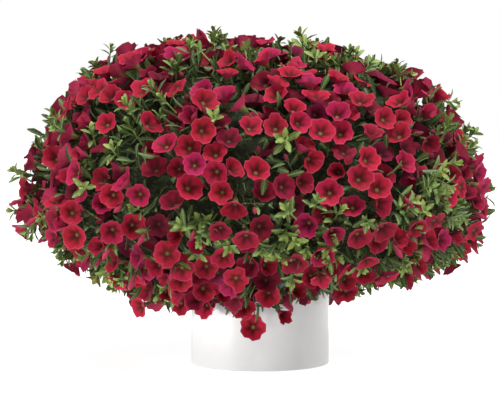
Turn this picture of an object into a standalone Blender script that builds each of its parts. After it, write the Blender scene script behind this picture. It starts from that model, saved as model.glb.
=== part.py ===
"""A calibrachoa in full bloom, growing in a plain white cylinder pot.

The plant is a wide mound of leafy sprays. Each spray is one body: a stem that stands in its own hole in the
soil, a lobe of foliage at the mound's face, and the leaves and trumpet blooms that stand out of the lobe.
Metres, +Z up, origin at the middle of the pot's underside, the front of the plant towards -Y.
"""

import math
import random

import bmesh
import bpy
from mathutils import Matrix, Vector

# Driving dimensions of the pot and its soil
POT_RADIUS = 0.075
POT_HEIGHT = 0.125
POT_WALL = 0.003
POT_FLOOR = 0.004
POT_EDGE = 0.0012
SOIL_TOP = 0.115
SOIL_CROWN = 0.004
CLEARANCE = 0.0003
POT_GAP = 0.003

# Driving dimensions of the mound: half axes of its face, measured from its middle, and how square its
# shoulders are (2 is an ellipse). Its underside slopes down to the pot, drawn in by a share of the drop at
# its widest, and hangs higher to the right. Its top leans to the left.
MOUND_MIDDLE = Vector((-0.0055, 0.0, 0.1805))
MOUND_HALF_WIDTH = 0.2574
MOUND_HALF_DEPTH = 0.240
MOUND_RISE = 0.1755
MOUND_SHOULDER = 2.2
MOUND_DROP = 0.151
MOUND_SLOPE = 0.68
MOUND_EDGE_POWER = 7
MOUND_LIFT = 0.095
MOUND_LEAN = 0.0088
MOUND_SWELL = 0.007

# A lobe of foliage lies this far under the mound's face, and is this thick
LOBE_DEPTH = 0.015
LOBE_THICKNESS = 0.015
LOBE_GRID = 3
LOBE_HUMMOCK = 0.005
LOBE_BORDER_DIP = 0.005
BORDER_GAP = 1.5 * CLEARANCE
BORDER_MARGIN = 2.5 * CLEARANCE
ROOT_DEPTH = LOBE_DEPTH + 0.72 * LOBE_THICKNESS

# A bloom, from its rim to the root of its tube
BLOOM_RADIUS = 0.0188
BLOOM_LOBE_NOTCH = 0.86
BLOOM_THROAT = 0.0065
BLOOM_LIMB = 0.0060
BLOOM_TUBE_RADIUS = 0.0026
BLOOM_SPACING = 0.0375
BLOOM_REACH = 1.1
BLOOM_MARGIN = 0.8
BLOOM_TILT = 0.24
BLOOM_LOWEST_LOOK = -0.25

# A leaf: an oblong blade with a keel under its rib
LEAF_LENGTH = 0.030
LEAF_WIDTH = 0.0072
LEAF_KEEL = 0.0014
LEAF_WIDEST = 0.55
LEAF_SPREAD = math.radians(36)
LEAVES_IN_TUFT = 3
TUFT_SPACING = 0.028
TUFT_MARGIN = 0.010
BLOOM_CLEARANCE = 0.020

STEM_RADIUS = 0.0024
STEM_DEPTH = 0.020
STEM_COLLAR = 0.004
STEM_TAPER = 0.35
STEM_ARCH = 0.20
STEM_FALL = POT_RADIUS + 0.016
RIM_RING = 0.063
ARCH_OUT = 0.006
ARCH_RISE = 0.009
HOLE_RADIUS = 0.0035
HOLE_CUT = 0.040
SEED = 15

# The tiers of sprays from the crown down: the polar angles they lie between, how many stand round the
# tier, the radius of their ring of stems in the soil, the wanted blooms and leaf tufts of each spray
TIERS = (
    ("crown", 0, 29, 1, 0.0, 14, 5),
    ("upper", 29, 60, 5, 0.022, 11, 3),
    ("middle", 60, 82, 8, 0.037, 9, 2),
    ("outer", 82, 106, 9, 0.050, 8, 2),
    ("trailing", 106, 138, 6, RIM_RING, 7, 3),
)
BISECTIONS = 22
SPREAD_ROUNDS = 40
SPREAD_STEP = 0.4
MOST_TRIES = 600
MOST_DRAWS = 12
WELD = 0.000004


def clear_scene():
    for old in list(bpy.data.objects):
        bpy.data.objects.remove(old)


def new_collection(name, parent=None):
    made = bpy.data.collections.new(name)
    (parent or bpy.context.scene.collection).children.link(made)
    return made


def new_material(name, colour, roughness):
    made = bpy.data.materials.new(name)
    made.use_nodes = True
    shader = made.node_tree.nodes["Principled BSDF"]
    shader.inputs["Base Color"].default_value = (*colour, 1.0)
    shader.inputs["Roughness"].default_value = roughness
    shader.inputs["Metallic"].default_value = 0.0
    made.diffuse_color = (*colour, 1.0)
    return made


def new_object(name, mesh, collection):
    made = bpy.data.objects.new(name, mesh)
    collection.objects.link(made)
    return made


def mesh_from(bm, name, material):
    bmesh.ops.recalc_face_normals(bm, faces=bm.faces)
    if bm.calc_volume(signed=True) < 0:
        bmesh.ops.reverse_faces(bm, faces=bm.faces)
    mesh = bpy.data.meshes.new(name)
    bm.to_mesh(mesh)
    bm.free()
    mesh.materials.append(material)
    return mesh


def apply_modifiers(obj):
    """Keeps the evaluated mesh as the object's own."""
    bpy.context.view_layer.update()
    graph = bpy.context.evaluated_depsgraph_get()
    mesh = bpy.data.meshes.new_from_object(obj.evaluated_get(graph), depsgraph=graph)
    obj.modifiers.clear()
    obj.data = mesh


# The face of the mound


def face_radius(theta, phi):
    """The distance from the mound's middle to its face, at polar angle theta and azimuth phi."""
    half = MOUND_HALF_WIDTH * MOUND_HALF_DEPTH / math.hypot(
        MOUND_HALF_DEPTH * math.cos(phi), MOUND_HALF_WIDTH * math.sin(phi)
    )
    rise, run = math.cos(theta), math.sin(theta)
    swell = MOUND_SWELL * math.sin(3 * phi + 1.0) * math.sin(4 * theta + 2 * phi) * run
    if rise >= 0:
        lean = -MOUND_LEAN * math.cos(phi) * 2 * rise * run
        shoulder = (run / half) ** MOUND_SHOULDER + (rise / MOUND_RISE) ** MOUND_SHOULDER
        return shoulder ** (-1 / MOUND_SHOULDER) + lean + swell
    inside, outside = 0.0, half / run
    for _ in range(BISECTIONS):
        radius = (inside + outside) / 2
        if radius * -rise < underside_drop(radius * run / half, phi):
            inside = radius
        else:
            outside = radius
    return inside + swell


def underside_drop(out, phi):
    """How far the face lies below the mound's middle, at a share from 0 to 1 of its half width."""
    drop = MOUND_DROP * (1 - MOUND_LIFT * math.cos(phi))
    return drop * (1 - MOUND_SLOPE * out) * math.sqrt(max(0.0, 1 - out**MOUND_EDGE_POWER))


def direction(theta, phi):
    return Vector((math.sin(theta) * math.cos(phi), math.sin(theta) * math.sin(phi), math.cos(theta)))


def face_point(theta, phi, sink=0.0):
    return MOUND_MIDDLE + direction(theta, phi) * (face_radius(theta, phi) - sink)


def face_normal(theta, phi):
    step = 0.02
    along = face_point(theta + step, phi) - face_point(theta - step, phi)
    round_ = face_point(theta, phi + step) - face_point(theta, phi - step)
    return along.cross(round_).normalized()


def polar(point):
    """(polar angle, azimuth) of a point, seen from the mound's middle."""
    offset = point - MOUND_MIDDLE
    return math.atan2(math.hypot(offset.x, offset.y), offset.z), math.atan2(offset.y, offset.x)


def off_the_pot(point):
    """The move, level and away from the mound's middle, that brings a point clear of the pot's wall."""
    move = Vector()
    if point.z > POT_HEIGHT + POT_GAP:
        return move
    outwards = Vector((point.x - MOUND_MIDDLE.x, point.y - MOUND_MIDDLE.y, 0)).normalized()
    for _ in range(3):
        at = point + move
        move += outwards * 1.05 * max(0.0, POT_RADIUS + POT_GAP - math.hypot(at.x, at.y))
    return move


# A spray's own share of the mound


class Share:
    """The stretch of the mound between two polar angles and two azimuths."""

    def __init__(self, low, high, middle, half_turn):
        self.low, self.high, self.middle, self.half_turn = low, high, middle, half_turn

    def angles(self, along, across):
        """Polar angle and azimuth at shares from 0 to 1 across, kept a clearance off the borders."""
        radius = face_radius(self.low + (self.high - self.low) * along, self.middle)
        edge = BORDER_GAP / radius
        low = self.cone(self.low) + edge if self.low else 0.0
        high = self.cone(self.high) - edge
        theta = low + (high - low) * along
        if self.half_turn >= math.pi:
            return theta, self.middle + (2 * across - 1) * math.pi
        edge /= math.sin(theta)
        return theta, self.middle + (2 * across - 1) * (self.half_turn - edge)

    def cone(self, theta):
        """A border's angle, moved so that straight edges between its points stay off the next tier."""
        bows_out = (theta == self.low) == (theta < math.pi / 2)
        if bows_out and self.half_turn < math.pi:
            return math.atan2(math.sin(theta) / math.cos(self.half_turn / LOBE_GRID), math.cos(theta))
        return theta

    def push(self, points):
        """The move that brings all the points inside the borders."""
        move = Vector()
        for _ in range(4):
            worst = Vector()
            for point in points:
                for pushed in self.pushes(point + move):
                    if pushed.length > worst.length:
                        worst = pushed
            if worst.length < 1e-5:
                break
            move += worst
        return move

    def pushes(self, point):
        yield off_the_pot(point)
        theta, phi = polar(point)
        radius = (point - MOUND_MIDDLE).length
        down = direction(theta + math.pi / 2, phi)
        if self.low:
            short = BORDER_MARGIN - (theta - self.low) * radius
            if short > 0:
                yield down * short
        short = BORDER_MARGIN - (self.high - theta) * radius
        if short > 0:
            yield down * -short
        if self.half_turn >= math.pi:
            return
        for side in (-1, 1):
            edge = self.middle + side * self.half_turn
            inwards = Vector((math.sin(edge), -math.cos(edge), 0)) * side
            short = BORDER_MARGIN - (point - MOUND_MIDDLE).dot(inwards)
            if short > 0:
                yield inwards * short

    def hold(self, theta, phi, margin):
        """The angles, moved so that their place on the face is at least the margin inside the borders."""
        radius = face_radius(theta, phi)
        low = self.low + margin / radius if self.low else 0.0
        theta = min(max(theta, low), self.high - margin / radius)
        if self.half_turn >= math.pi:
            return theta, phi
        turn = math.remainder(phi - self.middle, math.tau)
        most = self.half_turn - margin / (radius * math.sin(theta))
        return theta, self.middle + min(max(turn, -most), most)

    def area(self):
        """The area of the face between the borders, from its middle's distance alone."""
        radius = face_radius((self.low + self.high) / 2, self.middle)
        return 2 * self.half_turn * radius**2 * (math.cos(self.low) - math.cos(self.high))

    def any_place(self, rng, margin):
        theta = math.acos(rng.uniform(math.cos(self.high), math.cos(self.low)))
        return self.hold(theta, self.middle + rng.uniform(-self.half_turn, self.half_turn), margin)


def even_places(share, rng, wanted):
    """Angles of the blooms: places drawn at random that then push each other apart, to fill the share."""
    margin = BLOOM_MARGIN * BLOOM_RADIUS
    reach = max(BLOOM_SPACING, BLOOM_REACH * math.sqrt(share.area() / wanted))
    places = [share.any_place(rng, margin) for _ in range(wanted)]
    for _ in range(SPREAD_ROUNDS):
        points = [face_point(*place) for place in places]
        for index, point in enumerate(points):
            move = Vector()
            for other in points[:index] + points[index + 1:]:
                apart = point - other
                move += apart.normalized() * SPREAD_STEP * max(0.0, reach - apart.length)
            places[index] = share.hold(*polar(point + move), margin)
    return places


def free_places(share, rng, wanted, blooms):
    """Angles of the leaf tufts: places drawn at random that keep clear of the blooms and of each other."""
    points = [(face_point(*place), BLOOM_CLEARANCE) for place in blooms]
    places = []
    for _ in range(MOST_TRIES):
        place = share.any_place(rng, TUFT_MARGIN)
        point = face_point(*place)
        if all((point - other).length >= near for other, near in points):
            places.append(place)
            points.append((point, TUFT_SPACING))
            if len(places) == wanted:
                break
    return places


def facing(theta, phi, tilt, rng):
    """Blooms look out of the mound's face, and the lower ones turn up to look sideways."""
    normal = face_normal(theta, phi)
    normal.z = max(normal.z, BLOOM_LOWEST_LOOK)
    lean = Vector((rng.gauss(0, tilt), rng.gauss(0, tilt), rng.gauss(0, tilt)))
    return (normal.normalized() + lean).normalized()


# Blooms, leaves and stems


def bloom_mesh(material):
    """A five-lobed trumpet on its tube, looking along +Z, with the middle of its rim at the origin."""
    bm = bmesh.new()
    rim = bmesh.ops.create_circle(bm, segments=10, radius=BLOOM_RADIUS)["verts"]
    for index, vert in enumerate(rim):
        if index % 2:
            vert.co *= BLOOM_LOBE_NOTCH
    rim_edges = list(bm.edges)
    tube = bmesh.ops.create_circle(bm, segments=3, radius=BLOOM_TUBE_RADIUS)["verts"]
    bmesh.ops.translate(bm, vec=(0, 0, -BLOOM_THROAT - BLOOM_LIMB), verts=tube)
    tube_edges = [edge for edge in bm.edges if edge not in rim_edges]
    bmesh.ops.bridge_loops(bm, edges=rim_edges + tube_edges)
    mouth = bmesh.ops.contextual_create(bm, geom=rim_edges)["faces"]
    root = bmesh.ops.contextual_create(bm, geom=tube_edges)["faces"]
    middle = bmesh.ops.poke(bm, faces=mouth)["verts"]
    bmesh.ops.translate(bm, vec=(0, 0, -BLOOM_THROAT), verts=middle)
    end = bmesh.ops.poke(bm, faces=root)["verts"]
    bmesh.ops.translate(bm, vec=(0, 0, -BLOOM_LIMB), verts=end)
    return mesh_from(bm, "bloom", material)


def leaf_mesh(material):
    """An oblong keeled blade along +Z from its root at the origin, flat across X."""
    bm = bmesh.new()
    ring = bmesh.ops.create_circle(bm, segments=3, radius=1.0)["verts"]
    across = 0.5 * LEAF_WIDTH / math.cos(math.pi / 6)
    for vert in ring:
        vert.co = (across * vert.co.x, LEAF_KEEL * vert.co.y / 1.5, LEAF_WIDEST * LEAF_LENGTH)
    edges = list(bm.edges)
    for height in (0.0, LEAF_LENGTH):
        tip = bmesh.ops.create_vert(bm, co=(0, 0, height))["vert"][0]
        for edge in edges:
            bmesh.ops.contextual_create(bm, geom=[*edge.verts, tip])
    return mesh_from(bm, "leaf", material)


def stem_mesh(path, material):
    """A tapering woody stem along the path, as a closed mesh."""
    curve = bpy.data.curves.new("stem", "CURVE")
    curve.dimensions = "3D"
    curve.bevel_depth = STEM_RADIUS
    curve.bevel_resolution = 0
    curve.use_fill_caps = True
    spline = curve.splines.new("POLY")
    spline.points.add(len(path) - 1)
    for index, (point, place) in enumerate(zip(spline.points, path)):
        point.co = (*place, 1.0)
        point.radius = 1.0 - STEM_TAPER * index / (len(path) - 1)
    carrier = new_object("stem", curve, bpy.context.scene.collection)
    bpy.context.view_layer.update()
    graph = bpy.context.evaluated_depsgraph_get()
    mesh = bpy.data.meshes.new_from_object(carrier.evaluated_get(graph))
    bpy.data.objects.remove(carrier)
    bm = bmesh.new()
    bm.from_mesh(mesh)
    bmesh.ops.remove_doubles(bm, verts=bm.verts, dist=0.00005)
    bpy.data.meshes.remove(mesh)
    return mesh_from(bm, "stem", material)


def stem_path(share, ring):
    """Straight up out of the soil, clear of the pot's rim, and out to the middle of the spray's lobe."""
    across = Vector((math.cos(share.middle), math.sin(share.middle), 0)) if ring else Vector()
    root = across * ring + Vector((0, 0, SOIL_TOP - STEM_DEPTH))
    start = across * ring + Vector((0, 0, SOIL_TOP + SOIL_CROWN + STEM_COLLAR))
    theta = 0.5 * (share.low + share.high) if share.low else 0.0
    end = face_point(theta, share.middle, LOBE_DEPTH + LOBE_THICKNESS / 2)
    if not ring:
        return [root, start, end]
    arch = rim_arch(across, ring)
    bend = (arch + end) / 2 + Vector((0, 0, STEM_ARCH * (end - arch).length))
    if end.z < POT_HEIGHT:
        bend = across * STEM_FALL + Vector((0, 0, POT_HEIGHT))
    return [root, start, arch, bend, end]


def rim_arch(across, ring):
    """Where a stem turns outwards over the pot's rim: those from further in turn higher up."""
    from_rim = RIM_RING - ring
    out = ring + ARCH_OUT + 0.5 * from_rim
    return across * out + Vector((0, 0, POT_HEIGHT + ARCH_RISE + 1.1 * from_rim))


def lobe_mesh(share, rng, material):
    """A thick curved lobe of foliage that fills the share, humped under the mound's face."""
    bm = bmesh.new()
    if share.half_turn >= math.pi:
        disc = {"segments": 10, "radius1": 0.5, "radius2": 0.5, "depth": 1}
        bmesh.ops.create_cone(bm, cap_ends=True, cap_tris=True, **disc)
        for vert in bm.verts:
            along = 2 * math.hypot(vert.co.x, vert.co.y)
            phi = math.atan2(vert.co.y, vert.co.x)
            theta, _ = share.angles(min(along, 1.0), 0.5)
            vert.co = face_point(theta, phi, LOBE_DEPTH + (0.5 - vert.co.z) * LOBE_THICKNESS)
        return mesh_from(bm, "lobe", material)
    bmesh.ops.create_grid(bm, x_segments=LOBE_GRID, y_segments=LOBE_GRID, size=0.5)
    raised = bmesh.ops.extrude_face_region(bm, geom=list(bm.faces), use_keep_orig=True)["geom"]
    bmesh.ops.translate(bm, vec=(0, 0, 1), verts=[g for g in raised if isinstance(g, bmesh.types.BMVert)])
    for vert in bm.verts:
        theta, phi = share.angles(0.5 - vert.co.y, vert.co.x + 0.5)
        sink = LOBE_DEPTH + (1 - vert.co.z) * LOBE_THICKNESS
        if vert.co.z > 0.5:
            at_border = max(abs(vert.co.x), abs(vert.co.y)) > 0.49
            sink += LOBE_BORDER_DIP if at_border else -rng.uniform(0, LOBE_HUMMOCK)
        vert.co = face_point(theta, phi, sink)
        vert.co += off_the_pot(vert.co)
    return mesh_from(bm, "lobe", material)


def stand(mesh, matrix, root, share, collection):
    """Puts a copy of the mesh where the matrix says, inside the share, its lowest point at the root."""
    made = new_object(mesh.name, mesh.copy(), collection)
    lowest = min(made.data.vertices, key=lambda vert: vert.co.z)
    made.data.transform(matrix)
    outer = [vert.co for vert in made.data.vertices if vert != lowest]
    made.data.transform(Matrix.Translation(share.push(outer)))
    lowest.co = root + share.push([root])


def add_blooms(share, rng, places, mesh, collection):
    for theta, phi in places:
        turn = facing(theta, phi, BLOOM_TILT, rng).to_track_quat("Z", "Y").to_matrix().to_4x4()
        spin = Matrix.Rotation(rng.uniform(0, math.tau), 4, "Z") @ Matrix.Scale(rng.uniform(0.92, 1.06), 4)
        root = face_point(theta, phi, ROOT_DEPTH)
        stand(mesh, Matrix.Translation(face_point(theta, phi)) @ turn @ spin, root, share, collection)


def add_tufts(share, rng, places, mesh, collection):
    for theta, phi in places:
        root = face_point(theta, phi, ROOT_DEPTH)
        turn = direction(theta, phi).to_track_quat("Z", "Y").to_matrix().to_4x4()
        first = rng.uniform(0, math.tau)
        for leaf in range(LEAVES_IN_TUFT):
            spin = Matrix.Rotation(first + leaf * math.tau / LEAVES_IN_TUFT, 4, "Z")
            lean = Matrix.Rotation(LEAF_SPREAD * rng.uniform(0.7, 1.1), 4, "X")
            stand(mesh, Matrix.Translation(root) @ turn @ spin @ lean, root, share, collection)


def weld(mesh):
    """Merges the points that a join leaves on top of each other, and says if one closed body is left."""
    bm = bmesh.new()
    bm.from_mesh(mesh)
    bmesh.ops.remove_doubles(bm, verts=bm.verts, dist=WELD)
    bmesh.ops.triangulate(bm, faces=bm.faces)
    ahead = list(bm.verts)[:1]
    reached = set(ahead)
    while ahead:
        for edge in ahead.pop().link_edges:
            for vert in edge.verts:
                if vert not in reached:
                    reached.add(vert)
                    ahead.append(vert)
    one_body = len(reached) == len(bm.verts) and all(edge.is_manifold for edge in bm.edges)
    bm.to_mesh(mesh)
    bm.free()
    return one_body


def draw_spray(name, share, ring, blooms, tufts, rng, shapes, parts):
    """One spray: its lobe, stem, blooms and leaves joined into a single mesh."""
    bloom, leaf, petal, foliage = shapes
    joined = new_collection("joined", parts)
    bloom_places = even_places(share, rng, blooms)
    add_blooms(share, rng, bloom_places, bloom, joined)
    add_tufts(share, rng, free_places(share, rng, tufts, bloom_places), leaf, joined)
    new_object("stem", stem_mesh(stem_path(share, ring), foliage), joined)
    spray = new_object(name, lobe_mesh(share, rng, foliage), parts)
    spray.data.materials.append(petal)
    union = spray.modifiers.new("join", "BOOLEAN")
    union.operation = "UNION"
    union.operand_type = "COLLECTION"
    union.collection = joined
    apply_modifiers(spray)
    for piece in list(joined.objects):
        bpy.data.objects.remove(piece)
    bpy.data.collections.remove(joined)
    return spray


def add_spray(name, *design, shapes, parts):
    """Draws the spray again where blades that just touch keep the join from being one closed body."""
    for draw in range(MOST_DRAWS):
        spray = draw_spray(name, *design, random.Random(f"{SEED} {name} {draw}"), shapes, parts)
        if weld(spray.data):
            return
        bpy.data.objects.remove(spray)
    raise RuntimeError(f"{name} can't be joined into one body")


# The pot and the soil


def turned(name, profile, steps, material, parts):
    """A solid of revolution from a profile that runs out from the axis and back to it."""
    mesh = bpy.data.meshes.new(name)
    edges = [(index, index + 1) for index in range(len(profile) - 1)]
    mesh.from_pydata([(radius, 0, height) for radius, height in profile], edges, [])
    mesh.materials.append(material)
    made = new_object(name, mesh, parts)
    screw = made.modifiers.new("turn", "SCREW")
    screw.steps = steps
    screw.render_steps = steps
    screw.use_merge_vertices = True
    screw.merge_threshold = 0.00005
    return made


def add_pot(material, parts):
    inner = POT_RADIUS - POT_WALL
    profile = [
        (0, POT_FLOOR),
        (inner, POT_FLOOR),
        (inner, POT_HEIGHT - POT_EDGE),
        (inner + 0.4 * POT_EDGE, POT_HEIGHT),
        (POT_RADIUS - 0.4 * POT_EDGE, POT_HEIGHT),
        (POT_RADIUS, POT_HEIGHT - POT_EDGE),
        (POT_RADIUS, POT_EDGE),
        (POT_RADIUS - POT_EDGE, 0),
        (0, 0),
    ]
    pot = turned("pot", profile, 40, material, parts)
    apply_modifiers(pot)
    pot.data.set_sharp_from_angle(angle=math.radians(35))
    return pot


def add_soil(material, parts, holes):
    """Potting soil that fills the pot, a little crowned, with a plain hole for each stem."""
    radius = POT_RADIUS - POT_WALL - CLEARANCE
    low = POT_FLOOR + CLEARANCE
    profile = [
        (0, SOIL_TOP + SOIL_CROWN),
        (0.45 * radius, SOIL_TOP + 0.8 * SOIL_CROWN),
        (0.85 * radius, SOIL_TOP + 0.3 * SOIL_CROWN),
        (radius, SOIL_TOP),
        (radius, low),
        (0, low),
    ]
    soil = turned("potting_soil", profile, 24, material, parts)
    cut = soil.modifiers.new("stem_holes", "BOOLEAN")
    cut.operation = "DIFFERENCE"
    cut.operand_type = "COLLECTION"
    cut.collection = holes
    return soil


def add_hole(across, ring, holes):
    bm = bmesh.new()
    bmesh.ops.create_cone(
        bm, cap_ends=True, segments=5, radius1=HOLE_RADIUS, radius2=HOLE_RADIUS, depth=HOLE_CUT
    )
    mesh = bpy.data.meshes.new("stem_hole")
    bm.to_mesh(mesh)
    bm.free()
    hole = new_object("stem_hole", mesh, holes)
    low = SOIL_TOP - STEM_DEPTH - CLEARANCE
    hole.location = across * ring + Vector((0, 0, low + HOLE_CUT / 2))
    hole.hide_render = True
    hole.display_type = "WIRE"


def build():
    clear_scene()
    parts = new_collection("calibrachoa")
    holes = new_collection("cutters")
    ceramic = new_material("white_glaze", (0.86, 0.86, 0.85), 0.32)
    earth = new_material("potting_soil", (0.045, 0.028, 0.018), 0.95)
    petal = new_material("crimson_petal", (0.52, 0.008, 0.045), 0.55)
    foliage = new_material("green_foliage", (0.090, 0.190, 0.035), 0.50)
    shapes = (bloom_mesh(petal), leaf_mesh(foliage), petal, foliage)

    add_pot(ceramic, parts)
    for tier, low, high, count, ring, blooms, tufts in TIERS:
        half_turn = math.pi / count
        start = 0.0 if count % 2 else half_turn
        for index in range(count):
            middle = start + index * 2 * half_turn - math.pi / 2
            share = Share(math.radians(low), math.radians(high), middle, half_turn)
            name = f"spray_{tier}" if count == 1 else f"spray_{tier}_{index + 1:02d}"
            add_spray(name, share, ring, blooms, tufts, shapes=shapes, parts=parts)
            across = Vector((math.cos(middle), math.sin(middle), 0)) if ring else Vector()
            add_hole(across, ring, holes)
    add_soil(earth, parts, holes)


build()
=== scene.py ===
"""A calibrachoa in full bloom in its plain white pot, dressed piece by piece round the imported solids.

Metres, +Z up, origin at the middle of the pot's underside, the front of the plant towards -Y.
"""

import math
import random

import bmesh
import bpy
import numpy as np
from mathutils import Matrix, Vector, noise


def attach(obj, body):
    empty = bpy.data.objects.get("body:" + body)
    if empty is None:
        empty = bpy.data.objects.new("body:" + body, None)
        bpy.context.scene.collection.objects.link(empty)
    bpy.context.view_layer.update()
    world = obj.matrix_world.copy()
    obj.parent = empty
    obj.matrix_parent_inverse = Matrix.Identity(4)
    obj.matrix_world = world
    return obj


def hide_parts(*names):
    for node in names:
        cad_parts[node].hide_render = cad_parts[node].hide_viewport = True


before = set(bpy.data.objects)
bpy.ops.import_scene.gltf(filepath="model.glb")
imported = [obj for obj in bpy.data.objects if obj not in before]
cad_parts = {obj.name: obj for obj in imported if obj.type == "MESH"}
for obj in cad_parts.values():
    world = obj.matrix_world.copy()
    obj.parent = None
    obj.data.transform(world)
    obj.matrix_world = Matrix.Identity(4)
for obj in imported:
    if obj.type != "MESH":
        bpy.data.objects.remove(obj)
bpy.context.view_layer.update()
SEED = 7
noise.seed_set(SEED)


# The pot is a plain straight-sided cylinder of slip-cast white ceramic. It was glazed all over with a satin
# white glaze, its lip is rounded over, and it stands on its flat foot.

POT_RADIUS = 0.075
POT_HEIGHT = 0.125
POT_WALL = 0.003
POT_FLOOR = 0.004
POT_LIP = 0.0012
POT_STEPS = 96
LIP_SEGMENTS = 4
SHARP_ANGLE = math.radians(60)


class Socket:
    """A shader value. Arithmetic on it adds Math nodes, and node() adds any other node beside it."""

    def __init__(self, tree, socket=None):
        self.tree, self.socket = tree, socket

    def node(self, kind, settings, values, output):
        made = self.tree.nodes.new("ShaderNode" + kind)
        for name, value in settings.items():
            if name == "stops":
                self.set_stops(made.color_ramp, value)
            else:
                setattr(made, name, value)
        for name, value in values.items():
            target = next(slot for slot in made.inputs if slot.identifier == name)
            if isinstance(value, Socket):
                self.tree.links.new(value.socket, target)
            else:
                target.default_value = value
        return Socket(self.tree, next(slot for slot in made.outputs if slot.identifier == output))

    def set_stops(self, ramp, stops):
        while len(ramp.elements) < len(stops):
            ramp.elements.new(1.0)
        for element, (position, colour) in zip(ramp.elements, stops):
            element.position = position
            element.color = (*colour, 1.0)

    def maths(self, operation, *values):
        slots = ("Value", "Value_001", "Value_002")
        return self.node("Math", {"operation": operation}, dict(zip(slots, values)), "Value")

    def sine(self):
        return self.maths("SINE", self)

    def cosine(self):
        return self.maths("COSINE", self)

    def __abs__(self):
        return self.maths("ABSOLUTE", self)

    def __add__(self, other):
        return self.maths("ADD", self, other)

    def __sub__(self, other):
        return self.maths("SUBTRACT", self, other)

    def __rsub__(self, other):
        return self.maths("SUBTRACT", other, self)

    def __mul__(self, other):
        return self.maths("MULTIPLY", self, other)

    def __truediv__(self, other):
        return self.maths("DIVIDE", self, other)

    def __pow__(self, other):
        return self.maths("POWER", self, other)

    __radd__ = __add__
    __rmul__ = __mul__

    def ease(self, low, high):
        """0 below low, 1 above high, and a soft step between them."""
        limits = {"Value": self, "From Min": low, "From Max": high}
        return self.node("MapRange", {"interpolation_type": "SMOOTHSTEP"}, limits, "Result")

    def mix(self, first, second):
        """The first colour where this is 0 and the second where it is 1."""
        first, second = (c if isinstance(c, Socket) else (*c, 1.0) for c in (first, second))
        values = {"Factor_Float": self, "A_Color": first, "B_Color": second}
        return self.node("Mix", {"data_type": "RGBA"}, values, "Result_Color")

    def part(self, axis):
        """One coordinate of this vector."""
        return self.node("SeparateXYZ", {}, {"Vector": self}, axis)

    def grain(self, scale, detail=2.0):
        """Noise over this position, at so many waves a metre."""
        return self.node("TexNoise", {}, {"Vector": self, "Scale": scale, "Detail": detail}, "Fac")

    def relief(self, depth, strength=1.0):
        """The normal of a surface that this height, from 0 to 1, raises by the depth in metres."""
        return self.node("Bump", {}, {"Height": self, "Distance": depth, "Strength": strength}, "Normal")


def new_finish(name, **constants):
    """A material whose shader sockets hold the constants, with a Socket to start its nodes from."""
    material = bpy.data.materials.new(name)
    material.use_nodes = True
    for socket, value in constants.items():
        value = (*value, 1.0) if isinstance(value, tuple) else value
        material.node_tree.nodes["Principled BSDF"].inputs[socket.replace("_", " ")].default_value = value
    return material, Socket(material.node_tree)


def feed(material, **varying):
    """Links what changes over the surface to the material's shader."""
    shader = material.node_tree.nodes["Principled BSDF"]
    for socket, value in varying.items():
        material.node_tree.links.new(value.socket, shader.inputs[socket.replace("_", " ")])


def new_piece(name, bm, materials):
    """A finished piece of the plant or its pot from the mesh that was built for it."""
    mesh = bpy.data.meshes.new(name)
    bm.to_mesh(mesh)
    bm.free()
    for material in materials:
        mesh.materials.append(material)
    piece = bpy.data.objects.new(name, mesh)
    bpy.context.scene.collection.objects.link(piece)
    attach(piece, "root")
    return piece


glaze, start = new_finish("white_satin_glaze", Coat_Weight=0.35, Coat_Roughness=0.16, IOR=1.5)
place = start.node("TexCoord", {}, {}, "Object")
pooling = place.grain(22.0, 3.0)
orange_peel = place.grain(420.0, 2.0)
feed(
    glaze,
    Base_Color=pooling.ease(0.35, 0.7).mix((0.62, 0.62, 0.617), (0.67, 0.67, 0.666)),
    Roughness=0.30 + 0.12 * pooling,
    Normal=(orange_peel + pooling * 2.0).relief(0.00012, 0.5),
)

pot_bm = bmesh.new()
inner = POT_RADIUS - POT_WALL
profile = [
    (0, POT_FLOOR),
    (inner, POT_FLOOR),
    (inner, POT_HEIGHT),
    (POT_RADIUS, POT_HEIGHT),
    (POT_RADIUS, 0),
    (0, 0),
]
corners = [pot_bm.verts.new((radius, 0, height)) for radius, height in profile]
sides = [pot_bm.edges.new(pair) for pair in zip(corners, corners[1:])]
bmesh.ops.spin(
    pot_bm,
    geom=corners + sides,
    axis=(0, 0, 1),
    cent=(0, 0, 0),
    angle=math.tau,
    steps=POT_STEPS,
    use_merge=True,
)
bmesh.ops.remove_doubles(pot_bm, verts=pot_bm.verts, dist=0.00001)
bmesh.ops.recalc_face_normals(pot_bm, faces=pot_bm.faces)
lips = [edge for edge in pot_bm.edges if edge.calc_face_angle(0.0) > SHARP_ANGLE]
bmesh.ops.bevel(
    pot_bm,
    geom=lips,
    offset=POT_LIP,
    affect="EDGES",
    segments=LIP_SEGMENTS,
    profile=0.5,
    material=-1,
    clamp_overlap=True,
)
for face in pot_bm.faces:
    face.smooth = True
pot = new_piece("white_pot", pot_bm, [glaze])
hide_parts("pot")


# Potting soil fills the pot: dark peaty mix, rough and damp, with crumbs of bark and some white perlite lying
# on its top.

SOIL_TOP = 0.115
SOIL_CROWN = 0.004
SOIL_RADIUS = 0.070
CRUMBS = 320
CRUMB_SIZES = (0.0010, 0.0028)
PERLITE_SHARE = 0.14
PERLITE_SIZES = (0.0009, 0.0017)

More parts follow.
